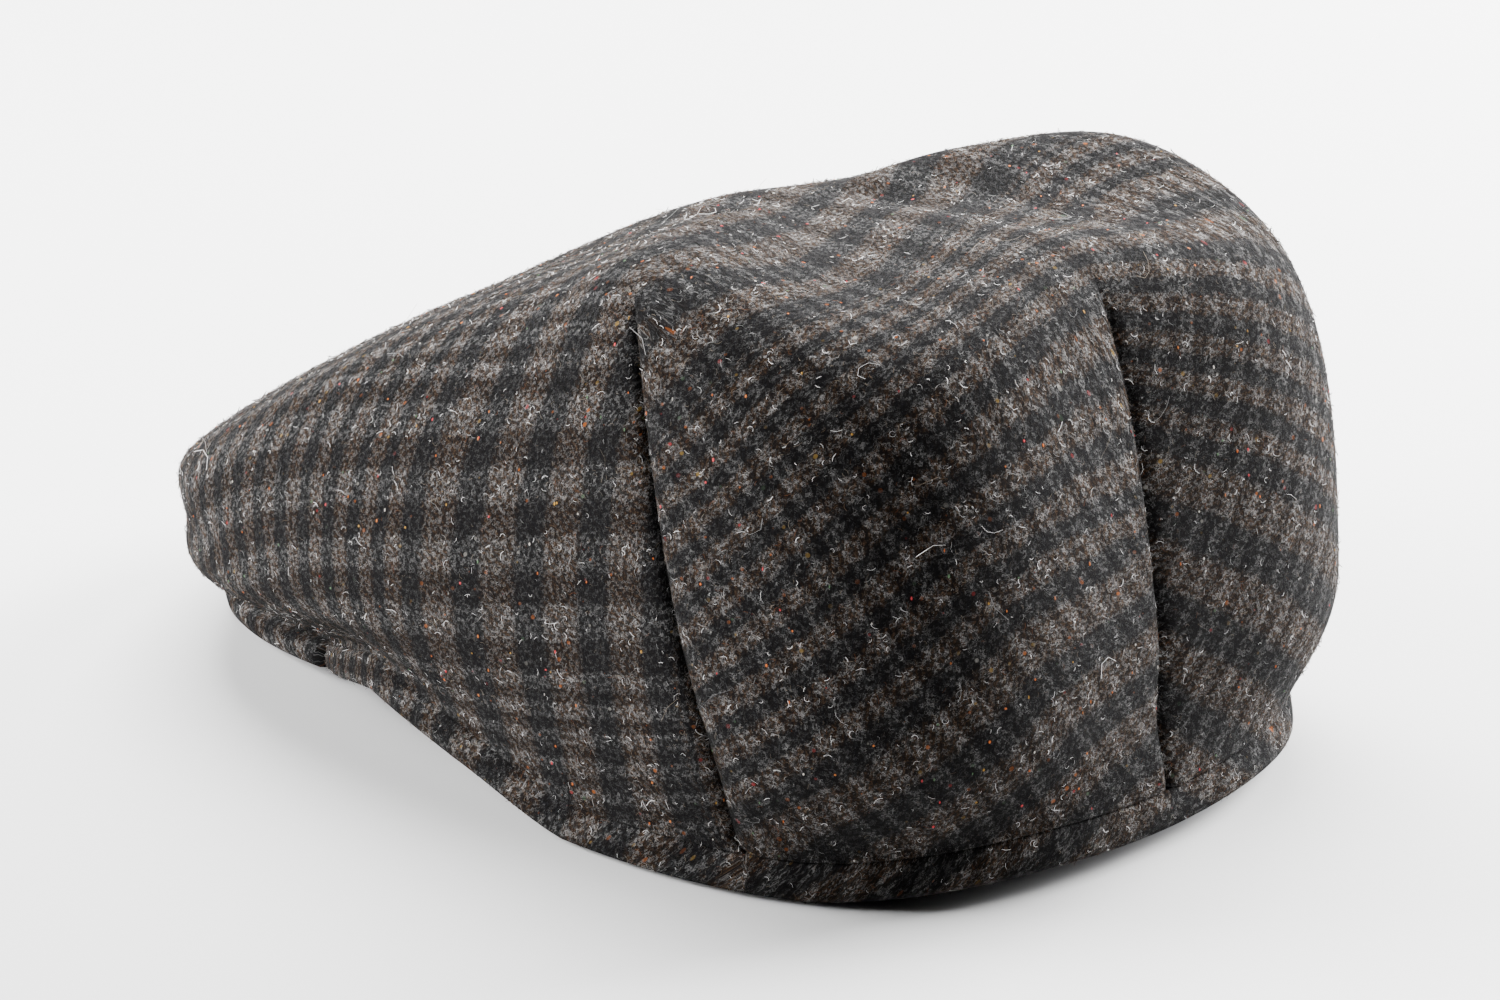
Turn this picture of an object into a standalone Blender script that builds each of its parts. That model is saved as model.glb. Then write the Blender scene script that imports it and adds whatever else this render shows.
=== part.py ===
"""Tweed flat cap: a one-cloth crown taken in by three darts at the back, a hem strip and a stiff peak.

Metres, +Z up. The peak points to -Y and the wearer's left is +X. Every shape is drawn as a radius and a
height in directions round the head: 0 degrees is the centre back, 90 the side and 180 the front.
"""

import math
from collections import namedtuple

import bmesh
import bpy
from mathutils import Vector

# Driving sizes
OPENING_WIDTH = 0.165
OPENING_BACK = 0.1025
OPENING_FRONT = 0.093
OPENING_SQUARENESS = 2.7
CROWN_HEIGHT = 0.107
FRONT_OVERHANG = 0.055
CLOTH = 0.0025
HEM_HEIGHT = 0.008
HEM_THICKNESS = 0.003
HEM_LIFT = 0.0125
HEM_TAPER_FROM = 116.0
PEAK_WIDTH = 0.136
PEAK_REACH = 0.138
PEAK_SQUARENESS = 3.8
PEAK_THICKNESS = 0.005
PEAK_ARCH = 0.006
PEAK_SLOPE = 0.10
PEAK_END_WIDTH = 0.004
DART_DEPTH = 0.0024
DART_WIDTH = 0.0042
SIDE_DART = 50.0
SIDE_DART_SLANT = 17.0
GAP = 0.0003

# The crown's sections, one row for each direction from the centre back to the front. Reaches are shares
# of FRONT_OVERHANG beyond the opening's edge, and heights are shares of CROWN_HEIGHT.
Section = namedtuple("Section", "direction edge belly belly_height shoulder shoulder_height")
SECTIONS = (
    Section(0, 0.00, -0.04, 0.40, -0.41, 1.01),
    Section(34, 0.00, 0.15, 0.42, -0.15, 0.965),
    Section(67, 0.00, 0.04, 0.48, -0.19, 1.025),
    Section(92, 0.00, 0.11, 0.48, -0.21, 0.905),
    Section(120, 0.00, 0.25, 0.385, -0.04, 0.745),
    Section(150, 0.30, 0.65, 0.27, 0.48, 0.455),
    Section(180, 0.64, 1.00, 0.19, 0.80, 0.33),
)

# How far the hem's lower edge stands off the table, as a share of HEM_LIFT. The cloth lies flat on it
# where two neighbouring rows are zero.
Lift = namedtuple("Lift", "direction share")
LIFTS = (
    Lift(0, 0.22),
    Lift(20, 0.28),
    Lift(44, 0.0),
    Lift(76, 0.0),
    Lift(95, 0.54),
    Lift(116, 1.0),
    Lift(180, 0.6),
)

# Where each section's points lie along a strip of cloth from the lower edge (0) to the top's centre (1)
SEAM_AT = 0.03
UNDER_AT = 0.10
BELLY_AT = 0.25
SHOULDER_AT = 0.55
TOP_AT = 0.78
TOP_SHARE = 0.55
TOP_DOME = 0.0035
SEAM_HEIGHT = 0.0015
ROWS = (0.0, 0.03, 0.07, 0.12, 0.18, 0.25, 0.32, 0.39, 0.45, 0.50, 0.54, 0.58, 0.63, 0.69, 0.76, 0.84, 0.92)
COLUMN_STEP = 6.0
DART_OFFSETS = (0.0, 1.3, 2.8, 5.0)
PEAK_ROWS = 6
PEAK_COLUMNS = 20

COLOURS = {
    "crown": (0.060, 0.054, 0.048, 1.0),
    "hem_band": (0.040, 0.036, 0.032, 1.0),
    "peak": (0.030, 0.027, 0.025, 1.0),
}


def smooth_curve(knots, values, at):
    """Height at `at` of a smooth curve through the values at the knots."""
    last = len(knots) - 1
    i = 0
    while i < last - 1 and at > knots[i + 1]:
        i += 1

    def slope(k):
        if k == 0 or k == last:
            a, b = (0, 1) if k == 0 else (last - 1, last)
            return (values[b] - values[a]) / (knots[b] - knots[a])
        left = (values[k] - values[k - 1]) / (knots[k] - knots[k - 1])
        right = (values[k + 1] - values[k]) / (knots[k + 1] - knots[k])
        before = knots[k] - knots[k - 1]
        after = knots[k + 1] - knots[k]
        return (left * after + right * before) / (before + after)

    width = knots[i + 1] - knots[i]
    t = (at - knots[i]) / width
    return (
        values[i] * (1 + 2 * t) * (1 - t) ** 2
        + slope(i) * width * t * (1 - t) ** 2
        + values[i + 1] * t * t * (3 - 2 * t)
        + slope(i + 1) * width * t * t * (t - 1)
    )


def round_head(rows, column, direction):
    """A table column read at any direction; the left and right halves are alike."""
    inner = [(row.direction, getattr(row, column)) for row in rows]
    before = [(-inner[2][0], inner[2][1]), (-inner[1][0], inner[1][1])]
    after = [(360 - inner[-2][0], inner[-2][1]), (360 - inner[-3][0], inner[-3][1])]
    knots, values = zip(*(before + inner + after))
    return smooth_curve(knots, values, direction)


def oval(direction, half_width, half_length, squareness):
    """Radius of a squarish oval."""
    angle = math.radians(direction)
    across = abs(math.sin(angle)) / half_width
    along = abs(math.cos(angle)) / half_length
    return (across**squareness + along**squareness) ** (-1 / squareness)


def opening_radius(direction):
    half_length = OPENING_BACK if direction < 90 else OPENING_FRONT
    return oval(direction, OPENING_WIDTH / 2, half_length, OPENING_SQUARENESS)


def peak_radius(direction):
    return oval(direction, PEAK_WIDTH / 2, PEAK_REACH, PEAK_SQUARENESS)


def place(direction, radius, height):
    angle = math.radians(direction)
    return Vector((radius * math.sin(angle), radius * math.cos(angle), height))


def find_peak_end():
    """The direction where the peak has grown PEAK_END_WIDTH beyond the opening."""
    direction = 180.0
    while direction > 91 and peak_radius(direction) - opening_radius(direction) > PEAK_END_WIDTH:
        direction -= 0.25
    return direction


PEAK_END = find_peak_end()
BAND_END = PEAK_END - math.degrees(GAP / opening_radius(PEAK_END))


def peak_shape(x, y):
    """Underside of the peak before it is set down: bent across, and falling towards its front."""
    return PEAK_ARCH * (1 - (2 * x / PEAK_WIDTH) ** 2) + PEAK_SLOPE * y


def peak_sections():
    """Directions and radii of the peak's half, from its end to the middle of its front."""
    for i in range(PEAK_COLUMNS + 1):
        share = i / PEAK_COLUMNS
        direction = PEAK_END + (180 - PEAK_END) * (1 - (1 - share) ** 1.3)
        inner = opening_radius(direction)
        outer = peak_radius(direction)
        yield direction, [inner + (outer - inner) * j / PEAK_ROWS for j in range(PEAK_ROWS + 1)]


def find_peak_rest():
    points = [place(direction, r, 0) for direction, radii in peak_sections() for r in radii]
    return min(peak_shape(p.x, p.y) for p in points)


PEAK_REST = find_peak_rest()


def peak_bottom(direction, radius):
    point = place(direction, radius, 0)
    return peak_shape(point.x, point.y) - PEAK_REST


def peak_top(direction, radius):
    """Highest point of the peak under the crown's wall."""
    under = [(turn, inset) for turn in (-2, 0, 2) for inset in (0, 1.2 * CLOTH)]
    return PEAK_THICKNESS + max(peak_bottom(direction + turn, radius - inset) for turn, inset in under)


def hem_edges(direction):
    """Heights of the hem strip's lower and upper edges, which run into the edges of the peak."""
    lift = HEM_LIFT * max(0.0, round_head(LIFTS, "share", direction))
    taper = min(1.0, max(0.0, (direction - HEM_TAPER_FROM) / (PEAK_END - HEM_TAPER_FROM)))
    radius = opening_radius(PEAK_END)
    bottom = (1 - taper) * lift + taper * peak_bottom(PEAK_END, radius)
    top = (1 - taper) * (lift + HEM_HEIGHT) + taper * peak_top(PEAK_END, radius)
    return bottom, top


def crown_edge(direction):
    """Radius and height of the crown's lower edge, on the hem strip or, in front, on the peak."""
    radius = opening_radius(direction)
    if direction <= PEAK_END:
        return radius, hem_edges(direction)[1] + GAP
    out = max(0.0, round_head(SECTIONS, "edge", direction)) * FRONT_OVERHANG
    radius += min(out, peak_radius(direction) - radius - PEAK_END_WIDTH)
    return radius, peak_top(direction, radius) + GAP


def dart_slant(column):
    """How far a column leans forward by the shoulder, so that one column follows the side dart."""
    if column < SIDE_DART:
        return SIDE_DART_SLANT * math.sin(math.pi / 2 * column / SIDE_DART)
    share = min(1.0, (column - SIDE_DART) / (130 - SIDE_DART))
    return SIDE_DART_SLANT * math.cos(math.pi / 2 * share) ** 2


def dart_valley(column, along, radius):
    """How deep the sewn dart draws the cloth in."""
    fade_above = min(1.0, max(0.0, (SHOULDER_AT + 0.03 - along) / 0.12))
    fade_below = min(1.0, max(0.0, (along - SEAM_AT) / (UNDER_AT - SEAM_AT)))
    fade = fade_above * fade_below
    depth = 0.0
    for dart in (0.0, SIDE_DART):
        away = math.radians(abs(column - dart)) * radius
        depth += DART_DEPTH * fade * math.exp(-((away / DART_WIDTH) ** 2))
    return depth


def crown_point(column, along):
    """The cloth's outer face in one column, from the lower edge (0) to the top's centre (1)."""
    direction = column + dart_slant(column) * min(1.0, along / SHOULDER_AT)

    def reach(name):
        return opening_radius(direction) + FRONT_OVERHANG * round_head(SECTIONS, name, direction)

    def height(name):
        return CROWN_HEIGHT * round_head(SECTIONS, name, direction)

    edge, edge_height = crown_edge(direction)
    belly, belly_height = reach("belly"), height("belly_height")
    shoulder, shoulder_height = reach("shoulder"), height("shoulder_height")
    top_height = (shoulder_height + CROWN_HEIGHT) / 2 + TOP_DOME
    under = 0.25 * edge + 0.75 * belly
    inner_top = TOP_SHARE * shoulder
    knots = (0.0, SEAM_AT, UNDER_AT, BELLY_AT, SHOULDER_AT, TOP_AT, 1.0, 2.0 - TOP_AT)
    radii = (edge, edge, under, belly, shoulder, inner_top, 0.0, -inner_top)
    heights = (
        edge_height,
        edge_height + SEAM_HEIGHT,
        edge_height + 0.4 * (belly_height - edge_height),
        belly_height,
        shoulder_height,
        top_height,
        CROWN_HEIGHT,
        top_height,
    )
    radius = smooth_curve(knots, radii, along)
    radius -= dart_valley(column, along, radius)
    return place(direction, radius, smooth_curve(knots, heights, along))


def crown_columns():
    """Column directions of the half crown, closer together at the darts."""
    columns = set()
    for dart in (0.0, SIDE_DART):
        columns.update(dart + side * offset for offset in DART_OFFSETS for side in (-1, 1))
    near = max(DART_OFFSETS) + COLUMN_STEP / 2
    steps = round(180 / COLUMN_STEP)
    for i in range(steps + 1):
        column = 180 * i / steps
        at_a_dart = min(abs(column), abs(column - SIDE_DART)) < near
        if not at_a_dart and abs(column - PEAK_END) > COLUMN_STEP / 6:
            columns.add(column)
    columns.add(PEAK_END)
    return sorted(column for column in columns if 0 <= column <= 180)


def new_object(name, mesh, collection, parent):
    colour = COLOURS[name]
    material = bpy.data.materials.new(name + "_cloth")
    material.use_nodes = True
    shader = material.node_tree.nodes["Principled BSDF"]
    shader.inputs["Base Color"].default_value = colour
    shader.inputs["Roughness"].default_value = 0.95
    shader.inputs["Metallic"].default_value = 0.0
    material.diffuse_color = colour
    mesh.materials.append(material)
    mesh.shade_smooth()
    piece = bpy.data.objects.new(name, mesh)
    piece.parent = parent
    collection.objects.link(piece)
    return piece


def mesh_of_grid(name, rows, closing_point=None):
    """Mesh through a grid of points; a closing point shuts the last row with a fan."""
    body = bmesh.new()
    grid = [[body.verts.new(point) for point in row] for row in rows]
    for lower, upper in zip(grid, grid[1:]):
        for i in range(len(lower) - 1):
            body.faces.new((lower[i], upper[i], upper[i + 1], lower[i + 1]))
    if closing_point is not None:
        tip = body.verts.new(closing_point)
        for a, b in zip(grid[-1], grid[-1][1:]):
            body.faces.new((a, tip, b))
    mesh = bpy.data.meshes.new(name)
    body.to_mesh(mesh)
    body.free()
    return mesh


def mirror_across_middle(piece):
    mirror = piece.modifiers.new("left and right", "MIRROR")
    mirror.use_axis[0] = True
    mirror.use_clip = True
    mirror.merge_threshold = 0.00002


def add_thickness(piece, thickness):
    wall = piece.modifiers.new("wall", "SOLIDIFY")
    wall.thickness = thickness
    wall.offset = -1
    wall.use_even_offset = True
    wall.use_quality_normals = True


def build_crown(collection, parent):
    columns = crown_columns()
    rows = []
    for along in ROWS:
        row = [crown_point(column, along) for column in columns]
        row[0].x = 0.0
        row[-1].x = 0.0
        rows.append(row)
    mesh = mesh_of_grid("crown", rows, crown_point(0, 1.0))
    crown = new_object("crown", mesh, collection, parent)
    mirror_across_middle(crown)
    add_thickness(crown, CLOTH)


def build_hem_band(collection, parent):
    """The turned-up strip below the stitch line, from the middle of the back to the peak."""
    columns = [column for column in crown_columns() if column < BAND_END] + [BAND_END]
    levels = (0.0, 0.5, 1.0)
    rows = []
    for level in levels:
        row = []
        for column in columns:
            bottom, top = hem_edges(column)
            row.append(place(column, opening_radius(column), bottom + level * (top - bottom)))
        row[0].x = 0.0
        rows.append(row)
    band = new_object("hem_band", mesh_of_grid("hem_band", rows), collection, parent)
    mirror_across_middle(band)
    add_thickness(band, HEM_THICKNESS)


def build_peak(collection, parent):
    """The stiff peak, wrapped in the same cloth, with a rounded edge."""
    sections = list(peak_sections())
    rows = []
    for j in range(PEAK_ROWS + 1):
        row = []
        for direction, radii in reversed(sections):
            height = peak_bottom(direction, radii[j]) + PEAK_THICKNESS
            row.append(place(direction, radii[j], height))
        row[0].x = 0.0
        rows.append(row)
    peak = new_object("peak", mesh_of_grid("peak", rows), collection, parent)
    mirror_across_middle(peak)
    add_thickness(peak, PEAK_THICKNESS)


def stand_at_origin(parts, parent):
    """Put the middle of the cap's length at the origin."""
    depsgraph = bpy.context.evaluated_depsgraph_get()
    along = []
    for part in parts:
        evaluated = part.evaluated_get(depsgraph)
        along += [vertex.co.y for vertex in evaluated.data.vertices]
    parent.location.y = -(min(along) + max(along)) / 2


def main():
    for item in list(bpy.data.objects):
        bpy.data.objects.remove(item, do_unlink=True)
    collection = bpy.data.collections.new("tweed_flat_cap")
    bpy.context.scene.collection.children.link(collection)
    origin = bpy.data.objects.new("cap_origin", None)
    collection.objects.link(origin)
    build_crown(collection, origin)
    build_hem_band(collection, origin)
    build_peak(collection, origin)
    bpy.context.view_layer.update()
    stand_at_origin([item for item in collection.objects if item.type == "MESH"], origin)


main()
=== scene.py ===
# %% [markdown]
# # A tweed flat cap, dressed over its solid model
# The solid model gives the cap's size and its three pieces: a crown sewn from one cloth, a hem strip and a
# stiff peak. This lesson covers each of them with a fine surface, lays the cloth's check on it the way a
# tailor would cut it, and then adds what makes wool look like wool: a mottled twill, a nap of curled fibres
# and coloured flecks.

# %% Load the solid model
import math
from collections import namedtuple

import bmesh
import bpy
import numpy as np
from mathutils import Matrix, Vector


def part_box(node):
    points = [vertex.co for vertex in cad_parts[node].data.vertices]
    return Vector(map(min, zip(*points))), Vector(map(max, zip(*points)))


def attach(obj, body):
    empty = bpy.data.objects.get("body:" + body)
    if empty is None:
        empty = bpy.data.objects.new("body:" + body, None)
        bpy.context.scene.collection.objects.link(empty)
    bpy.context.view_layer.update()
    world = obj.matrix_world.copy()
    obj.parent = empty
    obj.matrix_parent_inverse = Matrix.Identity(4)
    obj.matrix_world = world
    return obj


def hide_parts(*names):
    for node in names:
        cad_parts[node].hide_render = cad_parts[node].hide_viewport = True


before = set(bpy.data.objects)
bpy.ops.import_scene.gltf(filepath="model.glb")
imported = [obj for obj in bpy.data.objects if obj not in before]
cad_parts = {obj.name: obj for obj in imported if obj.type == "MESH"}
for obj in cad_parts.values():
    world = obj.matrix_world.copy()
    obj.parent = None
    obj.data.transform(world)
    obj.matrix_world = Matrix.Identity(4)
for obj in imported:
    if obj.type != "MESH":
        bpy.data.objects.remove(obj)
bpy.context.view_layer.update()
MM = 0.001

# %% [markdown]
# ## The camera
# A picture and a model agree only when both are seen from the same place. That place is behind the cap on
# its left, a little above it, with a long lens that keeps the cap's sides nearly parallel.

# %% Camera
CAMERA_AZIMUTH = 135.25
CAMERA_HEIGHT_ANGLE = 20.35
CAMERA_DISTANCE = 0.8514
CAMERA_RIGHT = -0.0080
CAMERA_UP = 0.0402
LENS = 98.0
SENSOR_WIDTH = 36
OPENING_BACK = 0.1025


def opening_middle():
    """The middle of the head opening, from the hem strip's box."""
    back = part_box("hem_band")[1][1]
    return Vector((0, back - OPENING_BACK, 0))


def outward(azimuth, height_angle):
    """The direction from the cap to a place round it; azimuth 0 is in front of the peak."""
    a, e = math.radians(azimuth), math.radians(height_angle)
    return Vector((math.sin(a) * math.cos(e), -math.cos(a) * math.cos(e), math.sin(e)))


def set_up(name, data, location, back):
    """A camera or a lamp that looks against the direction `back`."""
    thing = bpy.data.objects.new(name, data)
    thing.location = location
    thing.rotation_mode = "QUATERNION"
    thing.rotation_quaternion = (-back).to_track_quat("-Z", "Y")
    bpy.context.scene.collection.objects.link(thing)
    return thing


def make_camera():
    back = outward(CAMERA_AZIMUTH, CAMERA_HEIGHT_ANGLE)
    angle = math.radians(CAMERA_AZIMUTH)
    right = Vector((math.cos(angle), math.sin(angle), 0))
    up = back.cross(right)
    lens = bpy.data.cameras.new("camera")
    lens.sensor_width = SENSOR_WIDTH
    lens.lens = LENS
    location = ORIGIN + back * CAMERA_DISTANCE + right * CAMERA_RIGHT + up * CAMERA_UP
    return set_up("camera", lens, location, back)


ORIGIN = opening_middle()
camera = make_camera()
bpy.context.scene.camera = camera
print("camera at", [round(c, 3) for c in camera.location])

# %% [markdown]
# ## Floor and light
# A pale floor and large soft lamps show cloth best: hard light would throw every stray hair's shadow. The
# first lamp hangs high beyond the cap, so its top is bright and its back falls into a soft shade. Two low
# lamps graze the sides, which brings out the nap.

# %% Floor and lights
FLOOR_WHITE = 0.42
FLOOR_SIZE = 14
FLOOR_HEIGHT = -0.0004
PAPER_ROUGHNESS = 0.9
ROOM_LIGHT = 0.03
LAMPS_AIM_AT = Vector((0, 0, 0.05))

Lamp = namedtuple("Lamp", "name azimuth height_angle distance size power")
LAMPS = (
    Lamp("beyond", 318, 62, 1.5, 1.3, 208),
    Lamp("left_side", 36, 18, 1.6, 1.0, 195),
    Lamp("right_side", 257, 20, 1.6, 1.0, 310),
)


def make_floor():
    bpy.ops.mesh.primitive_plane_add(size=FLOOR_SIZE, location=(0, 0, FLOOR_HEIGHT))
    floor = bpy.context.object
    floor.name = "floor"
    paper = bpy.data.materials.new("white_paper")
    paper.use_nodes = True
    shader = paper.node_tree.nodes["Principled BSDF"]
    shader.inputs["Base Color"].default_value = (FLOOR_WHITE, FLOOR_WHITE, FLOOR_WHITE, 1)
    shader.inputs["Roughness"].default_value = PAPER_ROUGHNESS
    floor.data.materials.append(paper)


def make_lamp(lamp):
    """A square lamp, turned to the middle of the cap."""
    back = outward(lamp.azimuth, lamp.height_angle)
    light = bpy.data.lights.new(lamp.name, "AREA")
    light.size = lamp.size
    light.energy = lamp.power
    set_up(lamp.name, light, back * lamp.distance + LAMPS_AIM_AT, back)


def light_the_room():
    world = bpy.data.worlds.new("studio")
    world.use_nodes = True
    background = world.node_tree.nodes["Background"]
    background.inputs["Color"].default_value = (1, 1, 1, 1)
    background.inputs["Strength"].default_value = ROOM_LIGHT
    bpy.context.scene.world = world


make_floor()
for lamp in LAMPS:
    make_lamp(lamp)
light_the_room()
print("floor and", len(LAMPS), "lamps")

# %% [markdown]
# ## The crown's form
# A cap's crown is soft, but it has a form that pressing gave it: steep at the back, flat on top and drawn
# out over the peak. Sections round the head describe it best, because each one is easy to see in a
# profile. These are the solid's own sections, read here at many more directions, so that the visible cloth
# lies on the solid. Directions run from 0 at the centre back over 90 at the side to 180 at the front.

# %% Sizes and sections of the crown
OPENING_WIDTH = 0.165
OPENING_FRONT = 0.093
OPENING_SQUARENESS = 2.7
CROWN_HEIGHT = 0.107
FRONT_OVERHANG = 0.055
CLOTH = 0.0025
HEM_HEIGHT = 0.008
HEM_LIFT = 0.0125
HEM_TAPER_FROM = 116.0
PEAK_WIDTH = 0.136
PEAK_REACH = 0.138
PEAK_SQUARENESS = 3.8
PEAK_THICKNESS = 0.005
PEAK_ARCH = 0.006
PEAK_SLOPE = 0.10
PEAK_END_WIDTH = 0.004
SIDE_DART = 50.0
SIDE_DART_SLANT = 17.0
GAP = 0.0003

Section = namedtuple("Section", "direction edge belly belly_height shoulder shoulder_height")
SECTIONS = (
    Section(0, 0.00, -0.04, 0.40, -0.41, 1.01),
    Section(34, 0.00, 0.15, 0.42, -0.15, 0.965),
    Section(67, 0.00, 0.04, 0.48, -0.19, 1.025),
    Section(92, 0.00, 0.11, 0.48, -0.21, 0.905),
    Section(120, 0.00, 0.25, 0.385, -0.04, 0.745),
    Section(150, 0.30, 0.65, 0.27, 0.48, 0.455),
    Section(180, 0.64, 1.00, 0.19, 0.80, 0.33),
)
Lift = namedtuple("Lift", "direction share")
LIFTS = (
    Lift(0, 0.22),
    Lift(20, 0.28),
    Lift(44, 0.0),
    Lift(76, 0.0),
    Lift(95, 0.54),
    Lift(116, 1.0),
    Lift(180, 0.6),
)
SEAM_AT, UNDER_AT, BELLY_AT, SHOULDER_AT, TOP_AT = 0.03, 0.10, 0.25, 0.55, 0.78
TOP_SHARE = 0.55
TOP_DOME = 0.0035
TOP_FILL = 0.0018
TOP_FILL_AT = 78.0
TOP_FILL_SPREAD = 26.0
SEAM_HEIGHT = 0.0015


def smooth_curve(knots, values, at):
    """Height at `at` of a smooth curve through the values at the knots."""
    last = len(knots) - 1
    i = 0
    while i < last - 1 and at > knots[i + 1]:
        i += 1

    def slope(k):
        if k == 0 or k == last:
            a, b = (0, 1) if k == 0 else (last - 1, last)
            return (values[b] - values[a]) / (knots[b] - knots[a])
        left = (values[k] - values[k - 1]) / (knots[k] - knots[k - 1])
        right = (values[k + 1] - values[k]) / (knots[k + 1] - knots[k])
        before = knots[k] - knots[k - 1]
        after = knots[k + 1] - knots[k]
        return (left * after + right * before) / (before + after)

    width = knots[i + 1] - knots[i]
    t = (at - knots[i]) / width
    return (
        values[i] * (1 + 2 * t) * (1 - t) ** 2
        + slope(i) * width * t * (1 - t) ** 2
        + values[i + 1] * t * t * (3 - 2 * t)
        + slope(i + 1) * width * t * t * (t - 1)
    )


def round_head(rows, column, direction):
    """A table column read at any direction; the left and right halves are alike."""
    inner = [(row.direction, getattr(row, column)) for row in rows]
    before = [(-inner[2][0], inner[2][1]), (-inner[1][0], inner[1][1])]
    after = [(360 - inner[-2][0], inner[-2][1]), (360 - inner[-3][0], inner[-3][1])]
    knots, values = zip(*(before + inner + after))
    return smooth_curve(knots, values, direction)


def oval(direction, half_width, half_length, squareness):
    angle = math.radians(direction)
    across = abs(math.sin(angle)) / half_width
    along = abs(math.cos(angle)) / half_length
    return (across**squareness + along**squareness) ** (-1 / squareness)


def opening_radius(direction):
    half_length = OPENING_BACK if direction < 90 else OPENING_FRONT
    return oval(direction, OPENING_WIDTH / 2, half_length, OPENING_SQUARENESS)


def peak_radius(direction):
    return oval(direction, PEAK_WIDTH / 2, PEAK_REACH, PEAK_SQUARENESS)


def place(direction, radius, height):
    """A point at a direction round the middle of the head opening."""
    angle = math.radians(direction)
    return ORIGIN + Vector((radius * math.sin(angle), radius * math.cos(angle), height))


# %% Edges of the peak and of the hem strip
PEAK_COLUMNS = 20


def find_peak_end():
    """The direction where the peak has grown PEAK_END_WIDTH beyond the opening."""
    direction = 180.0
    while direction > 91 and peak_radius(direction) - opening_radius(direction) > PEAK_END_WIDTH:
        direction -= 0.25
    return direction


def peak_shape(direction, radius):
    """The underside of the peak before it is set down: bent across, and falling to its front."""
    point = place(direction, radius, 0) - ORIGIN
    return PEAK_ARCH * (1 - (2 * point.x / PEAK_WIDTH) ** 2) + PEAK_SLOPE * point.y


def find_peak_rest():
    lowest = 0.0
    for i in range(PEAK_COLUMNS + 1):
        direction = PEAK_END + (180 - PEAK_END) * i / PEAK_COLUMNS
        lowest = min(lowest, peak_shape(direction, peak_radius(direction)))
    return lowest


PEAK_END = find_peak_end()
PEAK_REST = find_peak_rest()


def peak_bottom(direction, radius):
    return peak_shape(direction, radius) - PEAK_REST


def peak_top(direction, radius):
    under = [(turn, inset) for turn in (-2, 0, 2) for inset in (0, 1.2 * CLOTH)]
    return PEAK_THICKNESS + max(peak_bottom(direction + turn, radius - inset) for turn, inset in under)


def hem_edges(direction):
    """Heights of the hem strip's lower and upper edges, which run into the edges of the peak."""
    lift = HEM_LIFT * max(0.0, round_head(LIFTS, "share", direction))
    taper = min(1.0, max(0.0, (direction - HEM_TAPER_FROM) / (PEAK_END - HEM_TAPER_FROM)))
    radius = opening_radius(PEAK_END)
    bottom = (1 - taper) * lift + taper * peak_bottom(PEAK_END, radius)
    top = (1 - taper) * (lift + HEM_HEIGHT) + taper * peak_top(PEAK_END, radius)
    return bottom, top


def crown_edge(direction):
    """Radius and height of the crown's lower edge, on the hem strip or, in front, on the peak."""
    radius = opening_radius(direction)
    if direction <= PEAK_END:
        return radius, hem_edges(direction)[1] + GAP
    out = max(0.0, round_head(SECTIONS, "edge", direction)) * FRONT_OVERHANG
    radius += min(out, peak_radius(direction) - radius - PEAK_END_WIDTH)
    return radius, peak_top(direction, radius) + GAP


print("the peak ends at", PEAK_END, "degrees")

# %% [markdown]
# ## The darts
# A dart is a wedge of cloth that is folded away and sewn, which is how flat cloth is made to cup a head.
# Three of them shape this crown: one at the centre back and one behind each ear. Each shows as a thin sharp
# line in the bottom of a soft valley.

# %% Darts in the crown
DART_DEPTH = 0.0010
DART_WIDTH = 0.0034
CREASE_DEPTH = 0.0016
CREASE_WIDTH = 0.0007
DART_TIP = 0.03
DART_FADE = 0.12
CREASE_FADE = 0.05
SLANT_ENDS = 130.0
UNDER_REACH = 0.75
UNDER_RISE = 0.4


def dart_slant(column):
    """How far a column leans forward by the shoulder, so that one column follows the side dart."""
    if column < SIDE_DART:
        return SIDE_DART_SLANT * math.sin(math.pi / 2 * column / SIDE_DART)
    share = min(1.0, (column - SIDE_DART) / (SLANT_ENDS - SIDE_DART))
    return SIDE_DART_SLANT * math.cos(math.pi / 2 * share) ** 2


def dart_valley(column, along, radius):
    """How deep the sewn darts draw the cloth in: a soft valley with a sharp crease in it."""
    fade_above = min(1.0, max(0.0, (SHOULDER_AT + DART_TIP - along) / DART_FADE))
    fade_below = min(1.0, max(0.0, (along - SEAM_AT) / (UNDER_AT - SEAM_AT)))
    crease_fade = min(1.0, max(0.0, (SHOULDER_AT - along) / CREASE_FADE))
    depth = 0.0
    for dart in (0.0, SIDE_DART):
        away = math.radians(abs(column - dart)) * radius
        depth += DART_DEPTH * fade_above * fade_below * math.exp(-((away / DART_WIDTH) ** 2))
        depth += CREASE_DEPTH * crease_fade * math.exp(-away / CREASE_WIDTH)
    return depth


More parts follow.
